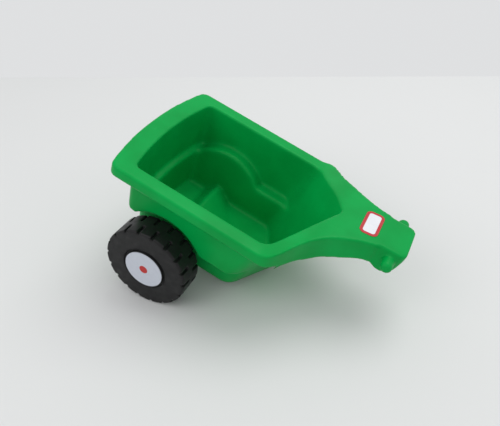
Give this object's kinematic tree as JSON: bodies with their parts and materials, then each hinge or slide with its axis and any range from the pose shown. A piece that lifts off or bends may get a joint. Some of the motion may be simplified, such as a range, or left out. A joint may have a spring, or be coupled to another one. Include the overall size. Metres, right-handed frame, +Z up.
{
  "type": "toy trailer",
  "caption": "Two-wheeled toy trailer: open moulded tub with a V front, gooseneck tongue with hitch pegs, and treaded wheels on one axle.",
  "frame": {"origin": "under the middle of the trailer, on the floor it stands on", "axes": "+X forwards towards the tongue, +Y to the trailer's left, +Z up; the tub is pitched nose down as it rests"},
  "size_m": [0.1406, 0.1032, 0.0765],
  "materials": {
    "green_plastic": "semi-gloss moulded",
    "black_plastic": "satin moulded",
    "axle_steel": "drawn rod",
    "silver_label": "printed film",
    "tongue_label": "printed film"
  },
  "bodies": {
    "tub": {"tub": "green_plastic", "tongue_label": "tongue_label"},
    "wheelset": {"axle": "axle_steel", "wheel_left": "black_plastic", "wheel_right": "black_plastic", "hub_label_left": "silver_label", "hub_label_right": "silver_label"}
  },
  "joints": [
    {"name": "wheelset_spin", "type": "hinge", "parent": "tub", "child": "wheelset", "pos_m": [-0.04682, 0, 0.0225], "axis": [0, 1, 0], "continuous": true}
  ]
}
